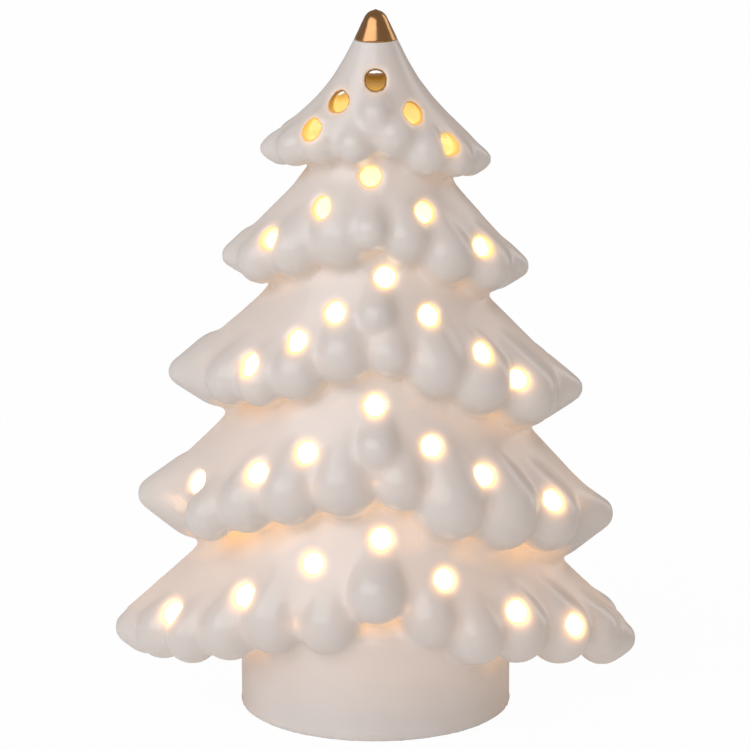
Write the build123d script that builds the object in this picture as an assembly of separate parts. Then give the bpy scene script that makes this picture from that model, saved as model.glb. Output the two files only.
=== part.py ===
from build123d import *
import math
import os
from dataclasses import dataclass

# A glazed porcelain tree with a battery lamp plugged into its foot.
# Millimetres. The tree stands on z = 0, its front faces -Y and +X is to the right.

# Porcelain
WALL = 4.0                # cast wall, square to the surface
HEM_LIFT = 1.1            # the full slope of a tier stops this far above the ends of its lobes, in radii
FLOOR_LIFT = 0.5          # its floor, and the wall between the lobes, reach down further
GROOVE = 2.5              # depth of that wall behind the slope
LOBE_PROUD = 0.3          # share of a lobe's radius that stands out of the slope
LOBE_RISE = 1.6           # the thin end of a lobe is this much higher than its fat end, in radii
LOBE_TAPER = 0.93         # thin end over fat end
LOBE_SINK = 0.9           # the thin end lies this deep under the slope
DROP_PROUD = 0.68
BOUGH_TAPER = 36.0        # degrees between a bough's axis and its flank
HOLE_RADIUS = 4.0
HOLE_TILT = 8.0           # degrees, the holes look up a little
HOLE_TURN = 0.6           # share of the slope's turn away from the front that a hole follows
HOLE_DEPTH = 10.0
THROAT = 0.7              # inside passage between tiers, over the half width of the lower tier's top
SPIRE_ROOF = 258.0        # the spire is solid above this height

# Gold lustre tip
GOLD_LINE = 268.0
GOLD_RADIUS = 8.7
GOLD_SHOULDER_Z = 276.2
GOLD_SHOULDER_RADIUS = 4.9
TOP_Z = 280.0

# Foot
FOOT_RADIUS = 53.4
FOOT_WALL = 4.5
FOOT_EDGE = 1.6           # rounding of the glazed bottom edge
FOOT_STRAIGHT_Z = 40.0    # the drum goes straight up to here
FOOT_TOP_Z = 54.0
FOOT_TOP_RADIUS = 41.0
MOUTH_RADIUS = 44.0
MOUTH_TOP = 9.0
RECESS_RADIUS = 47.2
RECESS_DEPTH = 3.5

# Lamp unit
FIT = 0.3                 # clearance between moulded pieces
RUNNING_FIT = 0.05        # clearance of the friction ring and of screws in their holes
PLATE_BOTTOM = 0.8
CUP_WALL = 2.0
CUP_TOP = 22.0
LIP = 1.0
RING_WIDTH = 3.0
RING_THICKNESS = 2.3
COVER_THICKNESS = 2.0
COVER_LIP = 1.4
WIRE_HOLE_RADIUS = 3.6
BOSS_RADIUS = 3.2
BOSS_CIRCLE = 34.0
BOSS_ANGLES = (90, 235, 305)

# Cells and contacts
CELL_RADIUS = 5.25
CELL_LENGTH = 44.5
CELL_NUB_RADIUS = 1.9
CELL_NUB = 0.8
CELL_GAP = 0.7
CELL_REST = 0.2           # above the door
CONTACT_THICKNESS = 0.4
CONTACT_WIDTH = 8.4
CONTACT_HEIGHT = 9.0
SPRING_LENGTH = 7.3
SPRING_TURNS = 4
SPRING_WIRE = 0.35
SPRING_FOOT_RADIUS = 3.8
SPRING_HEAD_RADIUS = 2.4
TAB_WIDTH = 3.0
TAB_TOP = 18.6
TRAY_WALL = 1.6

# Battery door
DOOR_THICKNESS = 1.8
DOOR_LEDGE = 1.4
HOOK_REACH = 1.5
HOOK_WIDTH = 6.0
HOOK_SPREAD = 9.0
HOOK_LIP = 0.8
CATCH_REACH = 0.7
CATCH_WIDTH = 5.0

# Lamp board
BOARD_RADIUS = 15.0
BOARD_THICKNESS = 1.6
POST_HEIGHT = 4.0
POST_RADIUS = 2.6
POST_CIRCLE = 11.5
POST_ANGLES = (90, 210, 330)
LED_CIRCLE = 8.0
LED_ANGLES = (30, 150, 270)
LED_RADIUS = 2.5
LED_RIM = 2.9
LED_FLANGE = 1.0
LED_HEIGHT = 8.6

# Switch
SWITCH_Y = -30.0
SWITCH_SEAT = 2.0
SWITCH_LENGTH = 12.0
SWITCH_WIDTH = 6.0
SWITCH_HEIGHT = 5.0
SWITCH_EAR = 0.8
SWITCH_SCREWS = 7.8       # half the distance between its screws
KNOB_LENGTH = 3.0
KNOB_WIDTH = 2.4
KNOB_TRAVEL = 3.0
KNOB_TIP = 1.1
KNOB_LEDGE = 1.0          # the knob's head rides on the switch floor, this thick
FINGER_RECESS = 1.2
KNOB_HEAD = 1.6
KNOB_SHOULDER = 0.7       # the head is wider than the stem by this much on each side
PIN_SPREAD = 2.0
PIN_HEIGHT = 3.4
PIN_WIDTH = 0.8
PIN_THICKNESS = 0.5

WIRE_RADIUS = 0.7
WIRE_BEND = 2.5
TOUCH = 0.05              # soldered ends stop this far from the face they meet

# Screws: shank radius, length under the head, head radius, head height
COVER_SCREW = (1.2, 8.0, 2.2, 1.6)
SMALL_SCREW = (0.9, 4.0, 1.7, 1.2)


@dataclass(frozen=True)
class Tier:
    sections: tuple       # (height, half width, half depth) from inside the tier above down to the hem
    hem_front: float      # height of the hem at the front, between the lower ends of the two middle lobes
    lean: float           # degrees by which the hem dips to the right, fading out up the slope
    reach: float          # half width over the bough tips
    tip_z: float
    tip_radius: float
    bough_radius: float
    bough_slope: float    # degrees of the bough's upper edge
    lobes_left: tuple     # (degrees round from the front, height of the lower end, radius), outermost first
    lobes_right: tuple    # the same, outermost last
    drop: tuple           # the drop over the middle of the hem, in the same way
    holes: tuple          # (degrees round from the front, height)

    @property
    def hem_z(self):
        return self.sections[-1][0]

    def tilt(self, index):
        """Degrees by which one of its sections dips to the right."""
        top_z = self.sections[0][0]
        return self.lean * (top_z - self.sections[index][0]) / (top_z - self.hem_z)


TIERS = (
    Tier(((GOLD_LINE, GOLD_RADIUS, GOLD_RADIUS), (260.5, 12.4, 12), (253, 16.8, 15.6), (246, 22.3, 19.2),
          (240, 28, 22.6), (231, 38, 27), (224, 43.5, 30), (218.5, 44.5, 31)),
         226.5, 2.8, 45.3, 222.7, 4.6, 7.5, 40,
         ((-70, 222, 8), (-51, 224.5, 10), (-17, 225, 7.6)),
         ((19, 227, 9.6), (43, 220, 9.4), (66, 217.8, 8)),
         (1, 236, 7),
         ((-53, 235.5), (-43, 246), (0, 254.5), (38.5, 242), (56.5, 229.5))),
    Tier(((240, 11, 11), (210, 32.4, 24), (184, 56.5, 35), (174.5, 59, 38)),
         192, 2.1, 60.5, 180, 5, 11, 43,
         ((-73, 176.5, 10), (-54, 180.5, 11.2), (-26, 184.5, 13.6)),
         ((22, 186, 11), (47, 178, 11.4), (71, 173.2, 11)),
         (-3, 191.2, 7.8),
         ((-65.5, 192), (-40.5, 205.5), (-5, 218), (36.5, 204), (65.5, 189))),
    Tier(((202, 15, 15), (165.5, 45.5, 34), (137, 76, 49), (124.5, 80, 53)),
         146, 2.4, 81.6, 132, 5.8, 15.5, 40,
         ((-66, 130.8, 11), (-50.5, 132, 10.2), (-36, 135.5, 11.2), (-16.5, 142, 12.4)),
         ((8, 144.5, 9.6), (31, 136.5, 13.2), (50, 129, 14), (70, 122.3, 14)),
         (1, 158.4, 8.2),
         ((-54, 145), (-38.5, 155.5), (-24, 166.5), (7, 179.5), (31.5, 165), (50.5, 150), (60.5, 138.5))),
    Tier(((162, 25, 25), (114, 61.5, 46), (98, 77, 54), (85, 91, 59), (74, 92.5, 61)),
         95, 2.5, 94.2, 81.6, 6.8, 18, 35,
         ((-60, 78, 10.6), (-49.5, 83, 12.4), (-34, 88, 13), (-13, 92, 13.6)),
         ((11, 94, 11.2), (30.5, 82.5, 15.2), (51, 76.5, 15.6), (68, 72.8, 14)),
         (1.2, 107, 9.6),
         ((-70, 96), (-46.5, 104), (-29.5, 113.5), (-0.5, 131.5), (25, 116), (43.5, 103.5), (65.5, 90))),
    Tier(((110, 33, 33), (61, 73, 53), (37, 99, 61), (27.5, 102, 63)),
         50, 1.25, 103.6, 28.2, 7.2, 11, 37,
         ((-75.5, 23.6, 11.5), (-62.5, 28, 11.2), (-51, 31.5, 12.6), (-37, 36, 14), (-16.5, 37, 12.6)),
         ((20, 39, 11.8), (34.5, 31.5, 12.4), (51, 30.5, 13.4), (67, 27, 13), (79.5, 22.6, 11)),
         (0.5, 48.4, 12),
         ((-70, 43), (-47.5, 55), (-25.5, 70), (2.5, 80), (26.5, 64), (48.5, 49), (66, 39.5))),
)


def ring_bow(half_width, half_depth):
    """Radius of the bow that makes the front of a tier's lens-shaped plan, and its half angle."""
    radius = (half_width ** 2 + half_depth ** 2) / (2 * half_depth)
    return radius, math.asin(min(1, half_width / radius))


def slope_point(tier, angle, height):
    """Point of a tier's slope and its outward normal. The angle runs from -90 at the left bough over 0 at
    the front to 90 at the right bough."""

    def ring_point(index, a):
        z, half_width, half_depth = tier.sections[index]
        radius, half_angle = ring_bow(half_width, half_depth)
        x = radius * math.sin(half_angle * a / 90)
        y = radius - half_depth - radius * math.cos(half_angle * a / 90)
        tilt = math.radians(tier.tilt(index))
        return Vector(x * math.cos(tilt), y, z - x * math.sin(tilt))

    index = 0
    while index < len(tier.sections) - 2 and height < ring_point(index + 1, angle).Z:
        index += 1
    above, below = ring_point(index, angle), ring_point(index + 1, angle)
    share = (above.Z - height) / (above.Z - below.Z)

    def on_slope(a):
        return ring_point(index, a) * (1 - share) + ring_point(index + 1, a) * share

    down = below - above
    across = on_slope(angle + 0.1) - on_slope(angle - 0.1)
    return on_slope(angle), down.cross(across).normalized()


def below_hem(tier, share, lift):
    """Everything under a line that runs along a tier behind its lobes: over their lower ends by a share of
    their radius and by lift."""

    def over_lobe(lobe):
        angle, bottom, radius = lobe
        place, _ = slope_point(tier, angle, bottom + radius)
        return place.X, bottom + share * radius + lift

    far, deep = tier.reach + 30, tier.hem_z - 50
    left = [over_lobe(lobe) for lobe in tier.lobes_left]
    right = [over_lobe(lobe) for lobe in tier.lobes_right]
    middle = (0, tier.hem_front + share * tier.drop[2] + lift)
    hem = [(-far, left[0][1]), *left, middle, *right, (far, right[-1][1])]
    profile = make_face(Polyline(*hem, (far, deep), (-far, deep), close=True))
    return Rot(90, 0, 0) * extrude(profile, 2 * far, both=True)


def ring(tier, index, wall):
    """One level section of a tier, drawn in by its wall: two bows that meet at the sides."""
    z, half_width, half_depth = tier.sections[index]
    # the slope lies flatter at the sides than at the front, so a level cut through its wall is wider there
    side, front = half_width - 1.5 * wall, half_depth - 1.1 * wall
    bows = [ThreePointArc((-side, 0), (0, -front), (side, 0)),
            ThreePointArc((side, 0), (0, front), (-side, 0))]
    return Pos(0, 0, z) * Rot(0, tier.tilt(index), 0) * make_face(Curve() + bows)


def tier_body(tier, wall, share, lift):
    """The plain body of a tier, drawn in by wall and cut off at its hem."""
    rings = [ring(tier, index, wall) for index in range(len(tier.sections))]
    return loft(rings[::-1], ruled=True) - below_hem(tier, share, lift)


def finger(thick_end, thick_radius, thin_end, thin_radius):
    """A tapering bar with round ends."""
    length = (thin_end - thick_end).length
    lean = math.acos((thick_radius - thin_radius) / length)

    def on_ball(centre, radius, a):
        return (centre + radius * math.cos(a), radius * math.sin(a))

    edge = Curve() + [
        Line((-thick_radius, 0), (length + thin_radius, 0)),
        ThreePointArc(on_ball(length, thin_radius, 0), on_ball(length, thin_radius, lean / 2),
                      on_ball(length, thin_radius, lean)),
        Line(on_ball(length, thin_radius, lean), on_ball(0, thick_radius, lean)),
        ThreePointArc(on_ball(0, thick_radius, lean), on_ball(0, thick_radius, (lean + math.pi) / 2),
                      on_ball(0, thick_radius, math.pi)),
    ]
    bar = revolve(make_face(edge), Axis.X)
    way = (thin_end - thick_end).normalized()
    side = way.cross(Vector(0.1, 1, 0.2)).normalized()
    return Plane(origin=thick_end, x_dir=way, z_dir=side).location * bar


def tongue(tier, angle, bottom, radius, proud):
    """A lobe lying on a tier's slope: its fat end hangs at bottom and stands out, its thin end sinks in."""
    place, normal = slope_point(tier, angle, bottom + radius)
    thick_end = place - normal * (radius * (1 - proud))
    thin = radius * LOBE_TAPER
    place, normal = slope_point(tier, angle, bottom + radius * (1 + LOBE_RISE))
    return finger(thick_end, radius, place - normal * (thin + LOBE_SINK), thin)


def hem_lobes(tier):
    """The scallops of the hem and the drop over its middle."""
    lobes = [tongue(tier, *lobe, LOBE_PROUD) for lobe in tier.lobes_left + tier.lobes_right]
    return lobes + [tongue(tier, *tier.drop, DROP_PROUD)]


def bough(tier, side):
    """The arm on one side, from inside the tier out to its rounded tip."""
    droop = side * tier.reach * math.sin(math.radians(tier.lean))
    tip = Vector(side * (tier.reach - tier.tip_radius), 0, tier.tip_z - droop)
    length = (tier.bough_radius - tier.tip_radius) / math.sin(math.radians(BOUGH_TAPER))
    rise = math.radians(tier.bough_slope - BOUGH_TAPER)
    root = tip + Vector(-side * length * math.cos(rise), 0, length * math.sin(rise))
    return finger(root, tier.bough_radius, tip, tier.tip_radius)


def light_hole(tier, angle, height):
    place, normal = slope_point(tier, angle, height)
    turn = HOLE_TURN * math.atan2(normal.X, -normal.Y)
    tilt = math.radians(HOLE_TILT)
    outward = Vector(math.sin(turn) * math.cos(tilt), -math.cos(turn) * math.cos(tilt), math.sin(tilt))
    drill = Plane(origin=place - outward * HOLE_DEPTH, z_dir=outward)
    return drill.location * cylinder(HOLE_RADIUS, 0, 2 * HOLE_DEPTH)


def front_and_back(shapes):
    """The two halves of the mould are alike."""
    return shapes + [mirror(shape, about=Plane.XZ) for shape in shapes]


def floor_height(tier):
    """Where the hollow of a tier starts, at the front."""
    return tier.hem_front + FLOOR_LIFT * tier.drop[2] + WALL


def cylinder(radius, bottom, top, x=0, y=0):
    return Pos(x, y, bottom) * Cylinder(radius, top - bottom, align=(Align.CENTER, Align.CENTER, Align.MIN))


def tube(inner, outer, bottom, top):
    return cylinder(outer, bottom, top) - cylinder(inner, bottom, top)


def block(length, width, bottom, top, x=0, y=0):
    return Pos(x, y, bottom) * Box(length, width, top - bottom, align=(Align.CENTER, Align.CENTER, Align.MIN))


def polar(radius, angle):
    turn = math.radians(angle)
    return radius * math.cos(turn), radius * math.sin(turn)


def turned(*points):
    """A body turned about the upright axis from its half outline of (radius, height) points."""
    outline = Polyline(*points, close=True)
    return revolve(Plane.XZ * make_face(outline), Axis.Z)


def screw(sizes, seat, x, y):
    """A cross-head screw driven down, its head sitting at the seat height."""
    radius, length, head_radius, head_height = sizes
    head = cylinder(head_radius, seat, seat + head_height, x, y)
    head = fillet(head.edges().group_by(Axis.Z)[-1], head_height / 3)
    slot = head_radius * 1.2, head_radius * 0.28, seat + head_height / 2, seat + 2 * head_height, x, y
    crossed = slot[1], slot[0], *slot[2:]
    return head + cylinder(radius, seat - length, seat, x, y) - block(*slot) - block(*crossed)


def wire(*points):
    """A round lead along straight runs with rounded corners."""
    path = FilletPolyline(*points, radius=WIRE_BEND)
    start = Plane(origin=path @ 0, z_dir=path % 0)
    return sweep(start * Circle(WIRE_RADIUS), path=path)


# The porcelain
foot = turned((0, 0), (FOOT_RADIUS, 0), (FOOT_RADIUS, FOOT_STRAIGHT_Z), (FOOT_TOP_RADIUS, FOOT_TOP_Z),
              (0, FOOT_TOP_Z))
foot = fillet(foot.edges().group_by(Axis.Z)[0], FOOT_EDGE)
outside = [foot]
for tier in TIERS:
    parts = front_and_back(hem_lobes(tier)) + [bough(tier, -1), bough(tier, 1)]
    outside.append(tier_body(tier, 0, HEM_LIFT, 0).fuse(tier_body(tier, GROOVE, FLOOR_LIFT, 0), *parts))
tree = outside[0].fuse(*outside[1:])

bore = FOOT_RADIUS - FOOT_WALL
neck = FOOT_TOP_RADIUS - FOOT_WALL
neck_top = floor_height(TIERS[-1]) + WALL
hollow = [turned((0, MOUTH_TOP), (bore, MOUTH_TOP), (bore, FOOT_STRAIGHT_Z - 2), (neck, FOOT_TOP_Z),
                 (neck, neck_top), (0, neck_top))]
hollow += [cylinder(MOUTH_RADIUS, 0, MOUTH_TOP), cylinder(RECESS_RADIUS, 0, RECESS_DEPTH)]
for tier in TIERS:
    hollow.append(tier_body(tier, WALL, FLOOR_LIFT, WALL) & cylinder(tier.reach, 0, SPIRE_ROOF))
for upper, lower in zip(TIERS, TIERS[1:]):
    top_z, half_width, half_depth = lower.sections[0]
    hollow.append(cylinder(half_width * THROAT, top_z - 2 * WALL, floor_height(upper) + WALL))

drills = []
for tier in TIERS:
    drills += [light_hole(tier, angle, height) for angle, height in tier.holes]
tree = tree - hollow[0].fuse(*hollow[1:])
tree = tree.cut(*front_and_back(drills))

dome_height = TOP_Z - GOLD_SHOULDER_Z
dome_radius = (GOLD_SHOULDER_RADIUS ** 2 + dome_height ** 2) / (2 * dome_height)
dome = Pos(0, 0, TOP_Z - dome_radius) * Sphere(dome_radius) & cylinder(GOLD_RADIUS, GOLD_SHOULDER_Z, TOP_Z)
gold_cone = Cone(GOLD_RADIUS, GOLD_SHOULDER_RADIUS, GOLD_SHOULDER_Z - GOLD_LINE,
                 align=(Align.CENTER, Align.CENTER, Align.MIN))
gold_tip = Pos(0, 0, GOLD_LINE) * gold_cone + dome

# The lamp base: a plug with a battery tray, open downwards
door_top = PLATE_BOTTOM + DOOR_THICKNESS
cell_z = door_top + CELL_REST + CELL_RADIUS
cell_pitch = 2 * CELL_RADIUS + CELL_GAP
tray_length = CELL_LENGTH + SPRING_LENGTH + 2 * CONTACT_THICKNESS
tray_width = 3 * cell_pitch
tray_roof = cell_z + CELL_RADIUS + FIT
tray_top = tray_roof + TRAY_WALL
door_length = tray_length + 2 * DOOR_LEDGE
door_width = tray_width + 2 * DOOR_LEDGE
cup_radius = MOUTH_RADIUS - RING_THICKNESS
lip_radius = MOUTH_RADIUS - 2 * FIT
ring_bottom = RECESS_DEPTH + LIP
ring_top = ring_bottom + RING_WIDTH
cover_top = CUP_TOP + COVER_THICKNESS
switch_seat = RECESS_DEPTH + SWITCH_SEAT
switch_top = switch_seat + SWITCH_HEIGHT
bosses = [polar(BOSS_CIRCLE, angle) for angle in BOSS_ANGLES]
posts = [polar(POST_CIRCLE, angle) for angle in POST_ANGLES]
switch_posts = [(side * SWITCH_SCREWS, SWITCH_Y) for side in (-1, 1)]
hook_places = [side * HOOK_SPREAD for side in (-1, 1)]
hinge_x = -(door_length / 2 - FIT)
cover_bite = COVER_SCREW[0] + RUNNING_FIT
small_bite = SMALL_SCREW[0] + RUNNING_FIT

lamp_base = cylinder(RECESS_RADIUS - FIT, PLATE_BOTTOM, RECESS_DEPTH)
lamp_base += tube(cup_radius - CUP_WALL, cup_radius, RECESS_DEPTH, CUP_TOP)
lamp_base += tube(cup_radius - CUP_WALL, lip_radius, RECESS_DEPTH, ring_bottom)
lamp_base += tube(cup_radius - CUP_WALL, lip_radius, ring_top, ring_top + LIP)
lamp_base += block(tray_length + 2 * TRAY_WALL, tray_width + 2 * TRAY_WALL, RECESS_DEPTH, tray_top)
for x, y in bosses:
    lamp_base += cylinder(BOSS_RADIUS, RECESS_DEPTH, CUP_TOP, x, y)
    lamp_base -= cylinder(cover_bite, cover_top - COVER_SCREW[1] - 1, CUP_TOP, x, y)
for x, y in switch_posts:
    lamp_base += cylinder(SWITCH_WIDTH / 2, RECESS_DEPTH, switch_seat, x, y)
    lamp_base -= cylinder(small_bite, switch_seat + SWITCH_EAR - SMALL_SCREW[1] - FIT, switch_seat, x, y)
lamp_base -= block(tray_length, tray_width, 0, tray_roof)
lamp_base -= block(door_length, door_width, 0, door_top)
slot_floor = PLATE_BOTTOM + HOOK_LIP
slot_roof = PLATE_BOTTOM + math.hypot(HOOK_REACH, DOOR_THICKNESS) + FIT
# the hook slots reach into the tray, because the hooks turn up and inwards as the door opens
hook_slot = HOOK_REACH + FIT - hinge_x - tray_length / 2
hook_slot_x = -(tray_length + hook_slot) / 2
for y in hook_places:
    lamp_base -= block(hook_slot, HOOK_WIDTH + 2 * FIT, slot_floor, slot_roof, hook_slot_x, y)
catch_slot = CATCH_REACH + 2 * FIT
catch_slot_x = catch_slot / 2 - FIT - hinge_x
lamp_base -= block(catch_slot, CATCH_WIDTH + 2 * FIT, slot_floor, slot_roof, catch_slot_x, 0)
knob_slot = KNOB_LENGTH + KNOB_TRAVEL + 2 * FIT
lamp_base -= block(knob_slot, KNOB_WIDTH + 2 * FIT, 0, switch_seat, 0, SWITCH_Y)
lamp_base -= block(knob_slot + 6, KNOB_WIDTH + 6, 0, PLATE_BOTTOM + FINGER_RECESS, 0, SWITCH_Y)
tab_slot = CONTACT_THICKNESS + FIT
for side in (-1, 1):
    slot_x = side * (tray_length - tab_slot) / 2
    lamp_base -= block(tab_slot, TAB_WIDTH + 2 * FIT, tray_roof - 1, tray_top, slot_x, -side * cell_pitch)

lamp_cover = cylinder(cup_radius, CUP_TOP, cover_top)
cover_lip = cup_radius - CUP_WALL - FIT
lamp_cover += tube(cover_lip - LIP, cover_lip, CUP_TOP - COVER_LIP, CUP_TOP)
for x, y in posts:
    lamp_cover += cylinder(POST_RADIUS, cover_top, cover_top + POST_HEIGHT, x, y)
    lamp_cover -= cylinder(small_bite, cover_top, cover_top + POST_HEIGHT, x, y)
for x, y in bosses:
    lamp_cover -= cylinder(COVER_SCREW[0] + FIT, CUP_TOP, cover_top, x, y)
lamp_cover -= cylinder(WIRE_HOLE_RADIUS, CUP_TOP, cover_top)

seal_ring = tube(cup_radius + RUNNING_FIT, MOUTH_RADIUS - RUNNING_FIT, ring_bottom, ring_top)
cover_screws = Compound(children=[screw(COVER_SCREW, cover_top, x, y) for x, y in bosses])

# The battery door: hooks on its hinge edge, a sprung tongue with a catch on the other
door = block(door_length - 2 * FIT, door_width - 2 * FIT, PLATE_BOTTOM, door_top)
hook_bottom = PLATE_BOTTOM + HOOK_LIP + RUNNING_FIT
for y in hook_places:
    door += block(HOOK_REACH, HOOK_WIDTH, hook_bottom, door_top, hinge_x - HOOK_REACH / 2, y)
door += block(CATCH_REACH, CATCH_WIDTH, hook_bottom, door_top, CATCH_REACH / 2 - hinge_x, 0)
tongue_length = 2 * CATCH_WIDTH
for side in (-1, 1):
    cut_y = side * (CATCH_WIDTH / 2 + FIT)
    door -= block(tongue_length, 2 * FIT, 0, door_top, -hinge_x - tongue_length / 2, cut_y)
for step in range(3):
    door -= block(0.8, CATCH_WIDTH - 1, 0, PLATE_BOTTOM + 0.4, -hinge_x - 2 - 1.6 * step, 0)

# Cells in series, each turned end for end to its neighbour, with plates and springs at their ends
contact_x = tray_length / 2 - CONTACT_THICKNESS


def cell(row, plus_side):
    body = cylinder(CELL_RADIUS, 0, CELL_LENGTH - CELL_NUB)
    body = fillet(body.edges().filter_by(GeomType.CIRCLE), 0.4)
    body += cylinder(CELL_NUB_RADIUS, CELL_LENGTH - CELL_NUB, CELL_LENGTH)
    minus_end = (plus_side * (contact_x - CELL_LENGTH), row * cell_pitch, cell_z)
    return Plane(origin=minus_end, z_dir=(plus_side, 0, 0)).location * body


def contact(side, first_row, last_row, with_tab):
    x = side * (contact_x + CONTACT_THICKNESS / 2)
    y = (first_row + last_row) / 2 * cell_pitch
    width = (last_row - first_row) * cell_pitch + CONTACT_WIDTH
    plate = block(CONTACT_THICKNESS, width, cell_z - CONTACT_HEIGHT / 2, cell_z + CONTACT_HEIGHT / 2, x, y)
    if with_tab:
        plate += block(CONTACT_THICKNESS, TAB_WIDTH, cell_z, TAB_TOP, x, y)
    return plate


def contact_spring(row, side):
    """A coil that narrows from the plate to the flat end of its cell."""
    height = SPRING_LENGTH - 2 * SPRING_WIRE - 2 * TOUCH
    narrowing = math.degrees(math.atan2(SPRING_FOOT_RADIUS - SPRING_HEAD_RADIUS, height))
    path = Helix(height / SPRING_TURNS, height, SPRING_HEAD_RADIUS, cone_angle=narrowing)
    coil = sweep(Plane(origin=path @ 0, z_dir=path % 0) * Circle(SPRING_WIRE), path=path, is_frenet=True)
    cell_end = side * (contact_x - SPRING_LENGTH + SPRING_WIRE + TOUCH)
    return Plane(origin=(cell_end, row * cell_pitch, cell_z), z_dir=(side, 0, 0)).location * coil


contact_springs = Compound(children=[contact_spring(-1, -1), contact_spring(0, 1), contact_spring(1, -1)])

# The lamp board on its posts
board_z = cover_top + POST_HEIGHT
board_top = board_z + BOARD_THICKNESS
led_board = cylinder(BOARD_RADIUS, board_z, board_top)
for x, y in posts:
    led_board -= cylinder(SMALL_SCREW[0] + FIT, board_z, board_top, x, y)
lamps = []
for angle in LED_ANGLES:
    x, y = polar(LED_CIRCLE, angle)
    dome_z = board_top + LED_HEIGHT - LED_RADIUS
    flange = cylinder(LED_RIM, board_top, board_top + LED_FLANGE, x, y)
    barrel = cylinder(LED_RADIUS, board_top, dome_z, x, y)
    lamps.append(flange + barrel + Pos(x, y, dome_z) * Sphere(LED_RADIUS))
resistor = block(3.2, 1.6, board_top, board_top + 0.6)
board_screws = Compound(children=[screw(SMALL_SCREW, board_top, x, y) for x, y in posts])

# The switch on its two posts; the knob rests at the right, switched on
knob_chamber = switch_seat + KNOB_LEDGE
ear_top = switch_seat + SWITCH_EAR
switch_body = block(SWITCH_LENGTH, SWITCH_WIDTH, switch_seat, switch_top, 0, SWITCH_Y)
switch_body += block(2 * SWITCH_SCREWS + SWITCH_WIDTH, SWITCH_WIDTH, switch_seat, ear_top, 0, SWITCH_Y)
for x, y in switch_posts:
    switch_body -= cylinder(SMALL_SCREW[0] + FIT, switch_seat, ear_top, x, y)
switch_body -= block(knob_slot, KNOB_WIDTH + 2 * FIT, switch_seat, knob_chamber, 0, SWITCH_Y)
chamber_length = knob_slot + 2 * KNOB_SHOULDER
chamber_width = KNOB_WIDTH + 2 * KNOB_SHOULDER + 2 * FIT
switch_body -= block(chamber_length, chamber_width, knob_chamber, knob_chamber + KNOB_HEAD + FIT, 0, SWITCH_Y)
knob_x = KNOB_TRAVEL / 2
head_length = KNOB_LENGTH + 2 * KNOB_SHOULDER
head_width = KNOB_WIDTH + 2 * KNOB_SHOULDER
switch_knob = block(KNOB_LENGTH, KNOB_WIDTH, KNOB_TIP, knob_chamber, knob_x, SWITCH_Y)
switch_knob += block(head_length, head_width, knob_chamber, knob_chamber + KNOB_HEAD, knob_x, SWITCH_Y)
pin_top = switch_top + PIN_HEIGHT
pins = [block(PIN_WIDTH, PIN_THICKNESS, switch_top, pin_top, side * PIN_SPREAD, SWITCH_Y) for side in (-1, 1)]
switch_pins = Compound(children=pins)
switch_screws = Compound(children=[screw(SMALL_SCREW, ear_top, x, y) for x, y in switch_posts])

# The leads: cells to switch, switch to board, board back to the cells
run_z = (tray_top + TAB_TOP) / 2 + WIRE_RADIUS / 2
high_z = run_z + 3 * WIRE_RADIUS
tab_x = contact_x - WIRE_RADIUS - TOUCH
pin_y = SWITCH_Y + PIN_THICKNESS / 2 + WIRE_RADIUS + TOUCH
pin_z = switch_top + 1
clear_y = -(tray_width / 2 + TRAY_WALL + 2 * WIRE_BEND)
wire_battery = wire((tab_x, -cell_pitch + TAB_WIDTH / 2, run_z), (tab_x, clear_y, run_z),
                    (PIN_SPREAD, clear_y, run_z), (PIN_SPREAD, pin_y, run_z), (PIN_SPREAD, pin_y, pin_z))
wire_switch = wire((-PIN_SPREAD, pin_y, pin_z), (-PIN_SPREAD, pin_y, high_z),
                   (-PIN_SPREAD, -2 * WIRE_RADIUS, high_z), (-PIN_SPREAD, -2 * WIRE_RADIUS, board_z - TOUCH))
wire_return = wire((-tab_x, cell_pitch + TAB_WIDTH / 2, run_z), (-tab_x, 2 * WIRE_RADIUS, run_z),
                   (PIN_SPREAD, 2 * WIRE_RADIUS, run_z), (PIN_SPREAD, 2 * WIRE_RADIUS, board_z - TOUCH))

nodes = {
    "porcelain_tree": tree,
    "gold_tip": gold_tip,
    "lamp_base": lamp_base,
    "lamp_cover": lamp_cover,
    "seal_ring": seal_ring,
    "cover_screws": cover_screws,
    "battery_door": door,
    "battery_1": cell(-1, 1),
    "battery_2": cell(0, -1),
    "battery_3": cell(1, 1),
    "positive_terminal": contact(1, -1, -1, True),
    "negative_terminal": contact(-1, 1, 1, True),
    "bridge_plate_left": contact(-1, -1, 0, False),
    "bridge_plate_right": contact(1, 0, 1, False),
    "contact_springs": contact_springs,
    "led_board": led_board,
    "leds": Compound(children=lamps),
    "resistor": resistor,
    "board_screws": board_screws,
    "switch_body": switch_body,
    "switch_knob": switch_knob,
    "switch_pins": switch_pins,
    "switch_screws": switch_screws,
    "wire_battery": wire_battery,
    "wire_switch": wire_switch,
    "wire_return": wire_return,
}

os.makedirs("parts", exist_ok=True)
for name, shape in nodes.items():
    export_step(shape, f"parts/{name}.step")
    box = shape.bounding_box()
    print(name, len(shape.solids()), round(shape.volume), shape.is_valid,
          [round(v, 2) for v in (*box.min, *box.max)])
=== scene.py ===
# %% [markdown]
# # A porcelain tree lit from inside
# The CAD model gives every piece its size and place. This script dresses it: it softens the cast
# porcelain the way a glaze does, lets the lamp shine through the wall, gilds the tip and finishes the
# lamp unit. Lengths are in metres, in the frame of the CAD model: the tree stands on z = 0 and its
# front faces -Y.

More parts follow.
